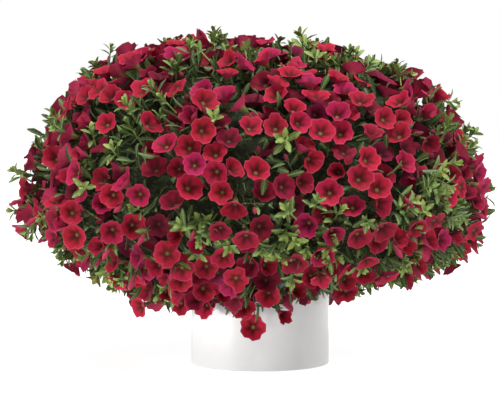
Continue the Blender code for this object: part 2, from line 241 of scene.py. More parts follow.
soil, start = new_finish("potting_mix", Specular_IOR_Level=0.25)
place = start.node("TexCoord", {}, {}, "Object")
clods = place.grain(180.0, 6.0)
damp = place.grain(40.0, 2.0)
feed(
    soil,
    Base_Color=clods.ease(0.3, 0.75).mix((0.012, 0.008, 0.005), (0.075, 0.046, 0.028)),
    Roughness=0.98 - 0.35 * damp,
    Normal=clods.relief(0.0025),
)
perlite, start = new_finish("perlite", Roughness=0.9)
place = start.node("TexCoord", {}, {}, "Object")
pores = place.grain(1400.0, 3.0)
feed(perlite, Base_Color=pores.mix((0.50, 0.49, 0.46), (0.82, 0.81, 0.79)), Normal=pores.relief(0.0003))
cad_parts["potting_soil"].material_slots[0].material = soil

rng = random.Random(SEED)
crumb_bm = bmesh.new()
for _ in range(CRUMBS):
    out, turn = SOIL_RADIUS * math.sqrt(rng.random()), rng.uniform(0, math.tau)
    white = rng.random() < PERLITE_SHARE
    size = rng.uniform(*(PERLITE_SIZES if white else CRUMB_SIZES))
    height = SOIL_TOP + SOIL_CROWN * (1 - (out / SOIL_RADIUS) ** 2) + 0.2 * size
    crumb = (
        Matrix.Translation((out * math.cos(turn), out * math.sin(turn), height))
        @ Matrix.Rotation(rng.uniform(0, math.tau), 4, "Z")
        @ Matrix.Diagonal((1.0, rng.uniform(0.5, 1.0), rng.uniform(0.4, 0.8), 1.0))
    )
    verts = bmesh.ops.create_icosphere(crumb_bm, subdivisions=1, radius=size, matrix=crumb)["verts"]
    for vert in verts:
        vert.co += 0.25 * size * noise.noise_vector(vert.co * 900)
    for face in {face for vert in verts for face in vert.link_faces}:
        face.material_index = int(white)
new_piece("soil_crumbs", crumb_bm, [soil, perlite])


# The mound: all the sprays together fill one wide, uneven dome that hangs down over the pot. It is dented at
# the upper left, tucked in at the lower left, and sags at the front left. Its face is where the outermost
# blooms lie, and each spray has a share of it.

MOUND_MIDDLE = Vector((-0.0085, 0.0, 0.1735))
MOUND_HALF_WIDTH = 0.2535
MOUND_HALF_DEPTH = 0.240
MOUND_RISE = 0.1750
MOUND_SHOULDER = 2.65
MOUND_DROP = 0.157
MOUND_SLOPE = 0.68
MOUND_EDGE_POWER = 7
MOUND_LIFT = 0.165
MOUND_SKEW = 0.10
MOUND_SAG = 0.065
MOUND_LEAN = 0.0088
MOUND_SWELL = 0.007
MOUND_TUCK = 0.026
MOUND_DENT = 0.026
DENT_POWER = 6
DENT_PEAK = 0.238
LUMP = 0.013
LUMPS_ACROSS = 4.2
TIERS = (
    ("crown", 0, 29, 1, 0.0),
    ("upper", 29, 60, 5, 0.022),
    ("middle", 60, 82, 8, 0.037),
    ("outer", 82, 106, 9, 0.050),
    ("trailing", 106, 138, 6, 0.063),
)


def underside_drop(out, phi):
    """How far the face lies below the mound's middle, at a share from 0 to 1 of its half width."""
    drop = MOUND_DROP * (1 - MOUND_LIFT * math.cos(phi) + MOUND_SAG * math.sin(2 * phi))
    slope = MOUND_SLOPE - MOUND_SKEW * math.cos(phi)
    return drop * (1 - slope * out) * math.sqrt(max(0.0, 1 - out**MOUND_EDGE_POWER))


def face_radius(theta, phi):
    """The distance from the mound's middle to its face, at polar angle theta and azimuth phi."""
    half = MOUND_HALF_WIDTH * MOUND_HALF_DEPTH / math.hypot(
        MOUND_HALF_DEPTH * math.cos(phi), MOUND_HALF_WIDTH * math.sin(phi)
    )
    rise, run = math.cos(theta), abs(math.sin(theta))
    swell = MOUND_SWELL * math.sin(3 * phi + 1.0) * math.sin(4 * theta + 2 * phi) * run
    swell += LUMP * noise.noise(LUMPS_ACROSS * direction(theta, phi))
    left = max(0.0, -math.cos(phi))
    swell -= MOUND_TUCK * left * max(0.0, -rise)
    swell -= MOUND_DENT * left**4 * max(0.0, rise) * run**DENT_POWER / DENT_PEAK
    if rise >= 0:
        lean = -MOUND_LEAN * math.cos(phi) * 2 * rise * run
        shoulder = (run / half) ** MOUND_SHOULDER + (rise / MOUND_RISE) ** MOUND_SHOULDER
        return shoulder ** (-1 / MOUND_SHOULDER) + lean + swell
    inside, outside = 0.0, half / run
    for _ in range(20):
        radius = (inside + outside) / 2
        if radius * -rise < underside_drop(radius * run / half, phi):
            inside = radius
        else:
            outside = radius
    return inside + swell


def direction(theta, phi):
    return Vector((math.sin(theta) * math.cos(phi), math.sin(theta) * math.sin(phi), math.cos(theta)))


def face_point(theta, phi, sink=0.0):
    return MOUND_MIDDLE + direction(theta, phi) * (face_radius(theta, phi) - sink)


def face_normal(theta, phi, step=0.03):
    along = face_point(theta + step, phi) - face_point(theta - step, phi)
    across = face_point(theta, phi + step) - face_point(theta, phi - step)
    return along.cross(across).normalized()


def polar(point):
    """(polar angle, azimuth) of a point, seen from the mound's middle."""
    offset = point - MOUND_MIDDLE
    return math.atan2(math.hypot(offset.x, offset.y), offset.z), math.atan2(offset.y, offset.x)


def off_the_pot(point, gap=0.004):
    """The point, moved level and outwards where it would be in the pot's wall."""
    out = math.hypot(point.x, point.y)
    if point.z > POT_HEIGHT + gap or out > POT_RADIUS + gap or out < 0.001:
        return point
    short = (POT_RADIUS + gap) / out
    return Vector((point.x * short, point.y * short, point.z))


class Spray:
    """A spray's share of the mound between two polar angles and two azimuths, and what grows in it."""

    def __init__(self, name, low, high, middle, half_turn, ring):
        self.name, self.low, self.high = name, low, high
        self.middle, self.half_turn, self.ring = middle, half_turn, ring
        self.blooms = bmesh.new()
        self.foliage = bmesh.new()

    def holds(self, theta, phi):
        turn = abs(math.remainder(phi - self.middle, math.tau))
        return self.low <= theta < self.high and turn <= self.half_turn


sprays = []
for tier, low, high, count, ring in TIERS:
    half_turn = math.pi / count
    for index in range(count):
        middle = (0.0 if count % 2 else half_turn) + index * 2 * half_turn - math.pi / 2
        name = tier if count == 1 else f"{tier}_{index + 1:02d}"
        sprays.append(Spray(name, math.radians(low), math.radians(high), middle, half_turn, ring))
LOWEST = sprays[-1].high


def spray_at(theta, phi):
    theta = min(theta, LOWEST - 0.001)
    return next(spray for spray in sprays if spray.holds(theta, phi))


def spread(wanted, reach, rounds, low=0.0, high=LOWEST):
    """Random places on the face, which then push each other apart where they are nearer than reach."""
    places = []
    while len(places) < wanted:
        theta = math.acos(rng.uniform(math.cos(high), math.cos(low)))
        phi = rng.uniform(-math.pi, math.pi)
        if rng.random() < (face_radius(theta, phi) / MOUND_HALF_WIDTH) ** 2:
            places.append((theta, phi))
    for _ in range(rounds):
        points = np.array([face_point(*place) for place in places])
        apart = points[:, None, :] - points[None, :, :]
        far = np.linalg.norm(apart, axis=2) + 1e-9
        push = 0.4 * np.clip(reach - far, 0.0, None) / far
        moved = points + (apart * push[:, :, None]).sum(axis=1)
        for index, point in enumerate(moved):
            theta, phi = polar(Vector(point))
            places[index] = (min(max(theta, low), high - 0.01), phi)
    return places


def stamp(target, shape, matrix, tone):
    """Adds a copy of a shape to a mesh that is being built, with its own tone: a hue and a darkening, which
    is painted shade where a bloom or leaf lies deep in the mound.
    """
    copy = shape.copy()
    copy.transform(matrix)
    tones = shape_tones[shape.name] + np.tile(tone, len(shape.loops))
    copy.uv_layers["tone"].uv.foreach_set("vector", tones)
    target.from_mesh(copy)
    bpy.data.meshes.remove(copy)


# Blooms: five petals grown together into a shallow trumpet, velvety crimson, with a dark star of veins round
# a yellow-green eye. The back is a paler pink and the tube is yellow-green. Blooms sunk in the mound are
# painted darker with shade, and the petals' rims carry a painted pink highlight.

BLOOM_RADIUS = 0.0140
BLOOM_TUBE = 0.0080
FLARE = 0.60
THROAT = 0.18
NECK = 0.26
NOTCH = 0.84
CUP_DEPTH = 0.0055
BLOOM_COUNT = 685
BLOOM_REACH = 0.0240
BUD_COUNT = 80
BUD_ROOT = 0.010

shape_tones = {}
root_depths = {}


def drawn(bm, edges, scale, drop):
    """Extrudes a loop of edges, and draws the new loop in towards the axis and down."""
    made = bmesh.ops.extrude_edge_only(bm, edges=edges)["geom"]
    verts = [part for part in made if isinstance(part, bmesh.types.BMVert)]
    bmesh.ops.scale(bm, vec=(scale, scale, 1), verts=verts)
    bmesh.ops.translate(bm, vec=(0, 0, -drop), verts=verts)
    new = set(verts)
    return verts, [edge for edge in bm.edges if edge.verts[0] in new and edge.verts[1] in new]


def finish_shape(bm, name, pattern):
    """A shape with its pattern coordinates, from a function of face and vertex, and an even tone."""
    uv = bm.loops.layers.uv.new("pattern")
    bm.loops.layers.uv.new("tone")
    for face in bm.faces:
        face.smooth = True
        for loop in face.loops:
            loop[uv].uv = pattern(face, loop.vert)
    return kept_shape(bm, name)


def kept_shape(bm, name):
    """The shape as a mesh to make copies of, with the tones of its corners kept beside it."""
    mesh = bpy.data.meshes.new(name)
    bm.to_mesh(mesh)
    bm.free()
    shape_tones[mesh.name] = np.zeros(2 * len(mesh.loops))
    mesh.uv_layers["tone"].uv.foreach_get("vector", shape_tones[mesh.name])
    return mesh


def bloom_shape(name, slope, ruffle, draw):
    """A trumpet that looks along +Z, its rim's middle at the origin. Slope is how far the petals rise."""
    bm = bmesh.new()
    rim = bmesh.ops.create_circle(bm, segments=15, radius=BLOOM_RADIUS * math.cos(slope))["verts"]
    rim_edges = list(bm.edges)
    rise = BLOOM_RADIUS * math.sin(slope)
    flare, flare_edges = drawn(bm, rim_edges, FLARE, 0.45 * rise + 0.0008)
    throat, throat_edges = drawn(bm, flare_edges, THROAT / FLARE, 0.40 * rise + 0.0042)
    bmesh.ops.contextual_create(bm, geom=throat_edges)
    front = set(bm.faces)
    neck, neck_edges = drawn(bm, rim_edges, NECK, 0.85 * rise + 0.0062)
    root, root_edges = drawn(bm, neck_edges, 0.40, BLOOM_TUBE)
    root_depths[name] = 0.85 * rise + 0.0062 + BLOOM_TUBE
    bmesh.ops.contextual_create(bm, geom=root_edges)
    rings = ((rim, 1.0), (flare, FLARE), (throat, THROAT), (neck, 0.5), (root, 0.1))
    out = {vert: share for ring, share in rings for vert in ring}
    turn = {vert: math.atan2(vert.co.y, vert.co.x) for vert in bm.verts}
    reach = [draw.uniform(0.94, 1.06) for _ in range(5)]
    bend = [draw.gauss(0, 1.6 * ruffle) for _ in range(5)]
    for index, (edge_vert, flare_vert) in enumerate(zip(rim, flare)):
        lobe, along = index // 3, index % 3
        if along == 0:
            edge_vert.co *= NOTCH
            flare_vert.co.z -= 0.0005
        else:
            aside = math.radians(-4 if along == 1 else 4)
            bmesh.ops.rotate(bm, verts=[edge_vert], cent=(0, 0, 0), matrix=Matrix.Rotation(aside, 3, "Z"))
            edge_vert.co *= reach[lobe]
            edge_vert.co.z += bend[lobe]
            flare_vert.co.z += 0.35 * bend[lobe]
        edge_vert.co.z += draw.gauss(0, ruffle)
    bmesh.ops.recalc_face_normals(bm, faces=bm.faces)
    for edge in rim_edges + throat_edges:
        edge.smooth = False

    def pattern(face, vert):
        across = 0.5 if face in front else 1.5
        return across + 0.45 * out[vert] * math.cos(turn[vert]), 0.5 + 0.45 * out[vert] * math.sin(turn[vert])

    return finish_shape(bm, name, pattern)


def bud_shape(name, length, width, twist):
    """A furled bud or a wilted bloom: a twisted spindle along +Z, with its root below the origin."""
    bm = bmesh.new()
    bmesh.ops.create_circle(bm, segments=5, radius=0.35 * width)
    edges = list(bm.edges)
    bmesh.ops.contextual_create(bm, geom=edges)
    for scale, rise in ((1.5, 0.40), (1.45, 0.25), (0.62, 0.22), (0.30, 0.13)):
        ring, edges = drawn(bm, edges, scale, -rise * length)
        bmesh.ops.rotate(bm, verts=ring, cent=(0, 0, 0), matrix=Matrix.Rotation(twist, 3, "Z"))
    bmesh.ops.contextual_create(bm, geom=edges)
    root_depths[name] = BUD_ROOT
    bmesh.ops.translate(bm, vec=(0, 0, -root_depths[name]), verts=bm.verts)
    bmesh.ops.recalc_face_normals(bm, faces=bm.faces)

    def pattern(face, vert):
        return 1.5 + 0.45 * min(1.0, 0.55 + 30 * max(0.0, vert.co.z)), 0.5

    return finish_shape(bm, name, pattern)


petal, start = new_finish(
    "crimson_petal",
    Sheen_Weight=0.05,
    Sheen_Roughness=0.5,
    Sheen_Tint=(1.0, 0.15, 0.45),
    Specular_IOR_Level=0.12,
)
pattern = start.node("UVMap", {"uv_map": "pattern"}, {}, "UV")
tone = start.node("UVMap", {"uv_map": "tone"}, {}, "UV")
across, up = pattern.part("X"), pattern.part("Y")
hue, painted_shade_and_dark_tone = tone.part("X"), tone.part("Y")
back = across.ease(0.999, 1.001)
x = (across - 0.5 - back) / 0.45
y = (up - 0.5) / 0.45
out = (x * x + y * y) ** 0.5
turn = y.maths("ARCTAN2", y, x)
star = 0.5 - 0.5 * (turn * 5.0).cosine()
spoke = start.node("CombineXYZ", {}, {"X": x / out, "Y": y / out, "Z": hue * 9.0 + out * 0.5}, "Vector")
veins = spoke.grain(7.0, 3.0)
patches = start.node("CombineXYZ", {}, {"X": x, "Y": y, "Z": hue * 7.0}, "Vector").grain(1.6, 2.0)
fresh = hue.node(
    "ValToRGB",
    {"stops": (
        (0.0, (0.180, 0.005, 0.028)),
        (0.3, (0.320, 0.008, 0.018)),
        (0.7, (0.395, 0.009, 0.029)),
        (1.0, (0.360, 0.008, 0.074)),
    )},
    {"Fac": hue},
    "Color",
)
limb = (patches.ease(0.40, 0.75) * 0.40).mix(fresh, (0.40, 0.008, 0.068))
limb = (veins.ease(0.45, 0.7) * 0.35).mix(limb, (0.19, 0.003, 0.012))
# Painted highlight: each petal's outer rim is mixed towards a lighter pink, standing in for the light its
# edge catches.
limb = (out.ease(0.82, 1.0) * 0.45).mix(limb, (0.50, 0.075, 0.120))
ringed = ((1 - (out - 0.24 * star).ease(0.10, 0.62)) * 0.92).mix(limb, (0.070, 0.007, 0.006))
pollen = hue.mix((0.095, 0.110, 0.028), (0.200, 0.180, 0.032))
eye = ((1 - out.ease(0.05, 0.18)) * 0.85).mix(ringed, pollen)
tube = out.ease(0.40, 0.62).mix((0.17, 0.21, 0.05), (0.42, 0.035, 0.085))
outside = (veins.ease(0.42, 0.68) * 0.6).mix(tube, (0.33, 0.012, 0.052))
colour = back.mix(eye, outside)
# The second tone darkens a bloom towards near-black: painted shade on the blooms sunk in the mound, and the
# own darker colour of buds and wilted blooms.
feed(
    petal,
    Base_Color=painted_shade_and_dark_tone.mix(colour, (0.040, 0.003, 0.012)),
    Roughness=0.58 + 0.2 * veins,
    Normal=(veins * 0.6 + star * 0.4).relief(0.00025, 0.5),
)

draw = random.Random(SEED + 1)
OPEN = [
    bloom_shape(f"open_bloom_{index}", math.radians(slope), 0.0007, draw)
    for index, slope in enumerate((4, 9, 14, 7, 18, 23))
]
CUPPED = [
    bloom_shape(f"cupped_bloom_{index}", math.radians(slope), 0.0012, draw)
    for index, slope in enumerate((36, 48, -12, -20))
]
BUDS = [
    bud_shape("furled_bud", 0.013, 0.0032, 0.35),
    bud_shape("twisted_bud", 0.010, 0.0040, 0.6),
]
WILTED = [
    bud_shape("wilted_bloom", 0.021, 0.0042, 0.5),
    bud_shape("shrivelled_bloom", 0.016, 0.0036, -0.8),
]


# Calyxes and stalks: each bloom sits in five narrow green sepals at the end of a thin stalk that comes out of
# the leaves behind it.

STALK = 0.016
CALYX_RADIUS = 0.0017
STALK_RADIUS = 0.0006
LOWEST_LOOK = -0.25
TO_THE_LIGHT = 0.20
BLOOM_TRIES = 7
SUNK_SHARE = 0.34


def calyx_shape():
    """The five sepals that hold a bloom's root at the origin, and the stalk below them."""
    bm = bmesh.new()
    rim = bmesh.ops.create_circle(bm, segments=10, radius=CALYX_RADIUS)["verts"]
    edges = list(bm.edges)
    bmesh.ops.translate(bm, vec=(0, 0, 0.0012), verts=rim)
    for vert in rim[::2]:
        vert.co.x *= 2.2
        vert.co.y *= 2.2
        vert.co.z += 0.0042
    cup = bmesh.ops.contextual_create(bm, geom=edges)["faces"]
    foot = bmesh.ops.poke(bm, faces=cup)["verts"]
    bmesh.ops.translate(bm, vec=(0, 0, -0.0022 - foot[0].co.z), verts=foot)
    kept = set(bm.edges)
    bmesh.ops.create_circle(bm, segments=3, radius=STALK_RADIUS)
    ring = [edge for edge in bm.edges if edge not in kept]
    bmesh.ops.translate(bm, vec=(0, 0, -0.0012), verts=list({vert for edge in ring for vert in edge.verts}))
    for _ in range(2):
        _, ring = drawn(bm, ring, 1.05, STALK / 2)
    return finish_shape(bm, "calyx", lambda face, vert: (0.35, 0.5 + 20 * vert.co.z))


CALYX = calyx_shape()


def facing(theta, phi, tilt):
    """Blooms look out of the mound's face, turned a little to the light, and the lower ones look sideways."""
    normal = face_normal(theta, phi)
    normal.z = max(normal.z, LOWEST_LOOK) + TO_THE_LIGHT
    lean = Vector([rng.gauss(0, tilt) for _ in range(3)])
    return (normal.normalized() + lean).normalized()


def set_bloom(spray, matrix, shape, tone):
    """One bloom with its calyx and stalk, placed and turned by the matrix."""
    stamp(spray.blooms, shape, matrix, tone)
    seat = matrix @ Matrix.Translation((0, 0, -root_depths[shape.name]))
    # The calyx's second tone darkens it a fifth of the way towards the leaves' painted shade colour.
    stamp(spray.foliage, CALYX, seat, (rng.uniform(0.3, 0.7), 0.2))


def placed(point, look, size=1.0):
    """The matrix that turns a shape's +Z to look along look, and moves its origin to the point."""
    turn = look.to_track_quat("Z", "Y").to_matrix().to_4x4()
    spin = Matrix.Rotation(rng.uniform(0, math.tau), 4, "Z")
    return Matrix.Translation(point) @ turn @ spin @ Matrix.Scale(size, 4)


NEIGHBOUR_REACH = 0.045


def in_cups(points):
    """How many of the points lie within the petals of a bloom that is already there."""
    near = cups[np.linalg.norm(cups[:, :3] - points[0], axis=1) < NEIGHBOUR_REACH]
    away = points[:, None, :] - near[None, :, :3]
    ahead = (away * near[None, :, 3:6]).sum(axis=2)
    aside = (away**2).sum(axis=2) - ahead**2
    return int(((ahead > -CUP_DEPTH) & (ahead < 0.001) & (aside < near[:, 6] ** 2)).sum())


def standing_out(points, margin=0.004):
    """How many of the points lie outside the mound's face, or less than the margin inside it."""
    return sum((point - MOUND_MIDDLE).length > face_radius(*polar(point)) - margin for point in points)


def bare(matrix, shape):
    """How many points of the stalk behind a bloom stand out of the mound's face."""
    root = root_depths[shape.name]
    return standing_out([matrix @ Vector((0, 0, -root - share * STALK)) for share in (0.4, 0.7, 1.0)])


# The two lowest blooms hang in front of the pot on long stalks. They come first, as all the others keep clear
# of them.
LOW_BLOOMS = (
    (Vector((-0.008, -0.118, 0.0525)), Vector((-0.05, -1.0, 0.10)).normalized(), OPEN[1], 1.02, (0.66, 0.0)),
    (Vector((0.026, -0.116, 0.0630)), Vector((0.55, -1.0, -0.35)).normalized(), CUPPED[1], 0.9, (0.45, 0.12)),
)
cups = np.array([(*point, *look, size * BLOOM_RADIUS) for point, look, _, size, _ in LOW_BLOOMS])
turns = [Matrix.Rotation(math.tau * step / 10, 3, "Z") for step in range(10)]
FEELERS = [BLOOM_RADIUS * (turn @ Vector((1, 0, 0))) for turn in turns] + [
    0.6 * BLOOM_RADIUS * (turn @ Vector((1, 0, 0))) - Vector((0, 0, 0.002)) for turn in turns[::2]
] + [Vector((0, 0, -0.007)), Vector((0, 0, -BLOOM_TUBE))]
for theta, phi in spread(BLOOM_COUNT, BLOOM_REACH, 5):
    sunk = rng.random() < SUNK_SHARE
    size = rng.uniform(0.86, 1.08)
    shape = rng.choice(OPEN if rng.random() < 0.8 else CUPPED)
    tries = []
    for _ in range(BLOOM_TRIES):
        sink = rng.uniform(0.009, 0.020) if sunk else rng.uniform(-0.003, 0.007)
        point, look = off_the_pot(face_point(theta, phi, sink), 0.016), facing(theta, phi, 0.30)
        matrix = placed(point, look, size)
        feelers = np.array([matrix @ feeler for feeler in FEELERS])
        tries.append((in_cups(feelers) + 2 * bare(matrix, shape), len(tries), matrix, point, look))
    _, _, matrix, point, look = min(tries)
    hue = min(max(rng.gauss(0.58, 0.28), 0.0), 1.0)
    # Sunk blooms get painted shade of 0.2 to 0.75 in their second tone, the others only a small random
    # darkening.
    tone = (hue, rng.uniform(0.2, 0.75) if sunk else rng.uniform(0.0, 0.18))
    set_bloom(spray_at(theta, phi), matrix, shape, tone)
    cups = np.vstack((cups, (*point, *look, 0.95 * size * BLOOM_RADIUS)))
for theta, phi in spread(BUD_COUNT * 3, 0.03, 3):
    point = off_the_pot(face_point(theta, phi, rng.uniform(-0.002, 0.008)), 0.012)
    matrix = placed(point, facing(theta, phi, 0.5), rng.uniform(0.8, 1.1))
    feelers = np.array([matrix @ Vector((0, 0, height)) for height in (0.004, -0.002, -0.008, -0.016)])
    shape = rng.choice(BUDS)
    if not in_cups(feelers) and not bare(matrix, shape):
        tone = (rng.uniform(0.2, 0.9), rng.uniform(0.55, 0.85))
        set_bloom(spray_at(theta, phi), matrix, shape, tone)


# Leaves: small oblong blades, soft and a little sticky with fine hairs, folded along a pale rib. Young ones
# are yellow-green and stand in tufts at the tips of the shoots. Old ones are a darker green and lie inside
# the mound, where painted shade darkens them more the deeper they lie.

LEAF_LENGTH = 0.018
LEAF_WIDTH = 0.0064
TUFT_COUNT = 1180
TUFT_LEAN = 0.35
LONG_SHOOTS = 150
LONG_SHOOTS_LOWEST = math.radians(112)
INNER_LEAVES = 5000
LEAF_LEAN = 0.6
PAINTED_SHADE_INSIDE = 17

leaf_green, start = new_finish(
    "soft_leaf", Sheen_Weight=0.15, Sheen_Roughness=0.5, Sheen_Tint=(0.85, 1.0, 0.6), Specular_IOR_Level=0.35
)
pattern = start.node("UVMap", {"uv_map": "pattern"}, {}, "UV")
tone = start.node("UVMap", {"uv_map": "tone"}, {}, "UV")
across, along = pattern.part("X"), pattern.part("Y")
young, painted_depth_shade = tone.part("X"), tone.part("Y")
place = start.node("TexCoord", {}, {}, "Object")
blotches = place.grain(130.0, 3.0)
hairs = place.grain(2600.0, 2.0)
from_rib = abs(across - 0.5)
rib = 1 - from_rib.ease(0.03, 0.09)
ribs = ((along * 34.0 - from_rib * 22.0).sine() * 0.5 + 0.5) ** 3.0
green = young.node(
    "ValToRGB",
    {"stops": (
        (0.0, (0.014, 0.034, 0.007)),
        (0.35, (0.038, 0.078, 0.014)),
        (0.7, (0.100, 0.165, 0.030)),
        (1.0, (0.230, 0.300, 0.055)),
    )},
    {"Fac": young + 0.16 * along + 0.25 * blotches - 0.16},
    "Color",
)
veined = (rib * 0.45 + ribs * 0.12).mix(green, (0.32, 0.42, 0.14))
# Painted shade: a leaf is mixed towards near-black green by its second tone, which grows with how deep it
# lies in the mound.
feed(
    leaf_green,
    Base_Color=painted_depth_shade.mix(veined, (0.020, 0.030, 0.012)),
    Roughness=0.44 + 0.2 * blotches,
    Normal=(ribs * 0.4 - rib * 0.5 + hairs * 0.25).relief(0.0004, 0.6),
)


BLADE_WIDTHS = (0.22, 0.84, 1.00, 0.30)
BLADE_PLACES = (0.0, 0.36, 0.72, 1.0)


def blade(bm, length, width, arch, fold):
    """One leaf along +Z from its root, its upper side towards +Y, and the tip arching away from +Y."""
    verts = bmesh.ops.create_grid(bm, x_segments=2, y_segments=3, size=0.5)["verts"]
    for vert in verts:
        across, row = 2 * vert.co.x, round(3 * (vert.co.y + 0.5))
        half = 0.5 * width * BLADE_WIDTHS[row]
        along = BLADE_PLACES[row]
        vert.co = (across * half, fold * abs(across) * half - arch * length * along**2, along * length)


def leaf_pattern(length, width):
    return lambda face, vert: (0.5 + 0.5 * vert.co.x / width, vert.co.z / length)


def leaf_shape(name, arch, fold):
    bm = bmesh.new()
    blade(bm, LEAF_LENGTH, LEAF_WIDTH, arch, fold)
    return finish_shape(bm, name, leaf_pattern(LEAF_LENGTH, LEAF_WIDTH))


def tuft_shape(name, draw, levels, shoot):
    """The tip of a shoot along +Z, its end at the origin: a thin stem and leaves in a rising spiral."""
    whole = bmesh.new()
    whole.loops.layers.uv.new("pattern")
    whole.loops.layers.uv.new("tone")
    turn = draw.uniform(0, math.tau)
    for height, length, spread_angle, tone in levels:
        bm = bmesh.new()
        size = length * draw.uniform(0.88, 1.12)
        blade(bm, size, LEAF_WIDTH * (0.45 + 0.55 * length / LEAF_LENGTH), draw.uniform(0.05, 0.35), 0.45)
        leaf = finish_shape(bm, "leaf", leaf_pattern(size, LEAF_WIDTH))
        turn += math.radians(137.5) + draw.gauss(0, 0.25)
        lean = math.radians(spread_angle) * draw.uniform(0.8, 1.2)
        matrix = (
            Matrix.Translation((0, 0, height)) @ Matrix.Rotation(turn, 4, "Z") @ Matrix.Rotation(lean, 4, "X")
        )
        stamp(whole, leaf, matrix, (tone, 0.0))
        bpy.data.meshes.remove(leaf)
    bm = bmesh.new()
    bmesh.ops.create_circle(bm, segments=3, radius=0.0008)
    drawn(bm, list(bm.edges), 1.3, shoot)
    stem = finish_shape(bm, "shoot", lambda face, vert: (0.3, 0.4))
    stamp(whole, stem, Matrix.Identity(4), (0.25, 0.0))
    return kept_shape(whole, name)


SHOOT_LENGTH = 0.024
SHOOT_STEP = 0.004
LEVELS = (
    (-0.013, 0.0165, 68, -0.22),
    (-0.010, 0.0155, 60, -0.14),
    (-0.008, 0.0145, 52, -0.06),
    (-0.006, 0.0130, 44, 0.02),
    (-0.004, 0.0115, 38, 0.10),
    (-0.002, 0.0100, 30, 0.18),
    (-0.001, 0.0080, 20, 0.26),
    (0.0, 0.0060, 10, 0.34),
)
TUFTS = [tuft_shape(f"tuft_{index}", draw, LEVELS, SHOOT_LENGTH) for index in range(5)]
LEAVES = [
    leaf_shape(f"leaf_{index}", arch, fold)
    for index, (arch, fold) in enumerate(((0.1, 0.5), (0.25, 0.35), (0.4, 0.6)))
]


def set_tuft(theta, phi, sink, lean, size, tone, shapes=TUFTS):
    """A tuft or a leaf on the mound's face, unless it would stand in a bloom or show its root."""
    whole = shapes is TUFTS
    point = off_the_pot(face_point(theta, phi, sink), 0.010)
    look = face_normal(theta, phi)
    look.z += 0.35
    look = (look.normalized() + Vector([rng.gauss(0, lean) for _ in range(3)])).normalized()
    shape, matrix = rng.choice(shapes), placed(point, look, size)
    corners = np.array([matrix @ vert.co for vert in shape.vertices])
    stem = [matrix @ Vector((0, 0, -SHOOT_STEP * step)) for step in range(6 if whole else 1)]
    touching = in_cups(np.concatenate((corners, np.array(stem))))
    if touching <= (3 if whole else 0) and not standing_out(stem[-1:]):
        stamp(spray_at(theta, phi).foliage, shape, matrix, tone)


for theta, phi in spread(TUFT_COUNT, 0.012, 3):
    sink, size = rng.uniform(-0.004, 0.011), rng.uniform(0.8, 1.2)
    set_tuft(theta, phi, sink, TUFT_LEAN, size, (rng.uniform(0.40, 0.9), 0.0))
for theta, phi in spread(LONG_SHOOTS, 0.05, 4, high=LONG_SHOOTS_LOWEST):
    sink, size = rng.uniform(-0.012, -0.005), rng.uniform(0.85, 1.1)
    set_tuft(theta, phi, sink, TUFT_LEAN, size, (rng.uniform(0.5, 0.8), 0.0))
# Inner leaves: an older, darker green, with painted shade in proportion to their depth.
for theta, phi in spread(INNER_LEAVES, 0.01, 1):
    sink = rng.uniform(0.010, 0.028)
    tone = (rng.uniform(0.1, 0.45), PAINTED_SHADE_INSIDE * sink * rng.uniform(0.6, 1.3))
    set_tuft(theta, phi, sink, LEAF_LEAN, rng.uniform(0.8, 1.2), tone, LEAVES)


# Inside each spray the leaves and shoots close up into an uneven thicket, a slab painted near-black green
# with the shade that fills the mound's inside. Its stems branch in it from one main stem, which stands in the
# soil and arches out over the pot's lip.

THICKET_DEPTH = 0.029
THICKET_THICKNESS = 0.006
THICKET_GRID = 10
STEM_RADIUS = 0.0024
STEM_RING = 0.063
SIDE_STEMS = 6
SIDE_STEM_RADIUS = 0.0013

# Painted shade: the thicket is coloured near-black green for the shade inside the mound, mottled a little
# lighter where the noise is high.
thicket, start = new_finish("thicket_painted_shade", Specular_IOR_Level=0.15)
place = start.node("TexCoord", {}, {}, "Object")
gaps = place.grain(240.0, 4.0)
feed(
    thicket,
    Base_Color=gaps.ease(0.42, 0.7).mix((0.021, 0.024, 0.014), (0.048, 0.066, 0.026)),
    Roughness=0.75 + 0.2 * gaps,
    Normal=gaps.relief(0.004),
)
bark, start = new_finish("green_stem", Specular_IOR_Level=0.3)
place = start.node("TexCoord", {}, {}, "Object")
streaks = place.grain(300.0, 3.0)
feed(
    bark,
    Base_Color=streaks.ease(0.35, 0.7).mix((0.085, 0.095, 0.030), (0.16, 0.20, 0.06)),
    Roughness=0.6 + 0.2 * streaks,
    Normal=streaks.relief(0.0004),
)


def thicket_mesh(spray):
    """A lumpy slab that fills the spray's share, well under the mound's face."""
    bm = bmesh.new()
    bmesh.ops.create_grid(bm, x_segments=THICKET_GRID, y_segments=THICKET_GRID, size=0.5)
    raised = bmesh.ops.extrude_face_region(bm, geom=list(bm.faces), use_keep_orig=True)["geom"]
    bmesh.ops.translate(bm, vec=(0, 0, 1), verts=[g for g in raised if isinstance(g, bmesh.types.BMVert)])
    for vert in bm.verts:
        if spray.ring:
            theta = spray.low + (spray.high - spray.low) * (0.5 - vert.co.y)
            phi = spray.middle + 2 * vert.co.x * spray.half_turn
        else:
            theta = spray.high * 2 * max(abs(vert.co.x), abs(vert.co.y))
            phi = math.atan2(vert.co.y, vert.co.x)
        place = face_point(theta, phi)
        lump = 0.005 * noise.noise(place * 55) + 0.003 * noise.noise(place * 140)
        sink = THICKET_DEPTH + (1 - vert.co.z) * THICKET_THICKNESS + lump * vert.co.z
        vert.co = off_the_pot(face_point(theta, phi, sink), 0.002)
    bmesh.ops.recalc_face_normals(bm, faces=bm.faces)
    if bm.calc_volume(signed=True) < 0:
        bmesh.ops.reverse_faces(bm, faces=bm.faces)
    for face in bm.faces:
        face.material_index = 1
    mesh = bpy.data.meshes.new("thicket")
    bm.to_mesh(mesh)
    bm.free()
    return mesh


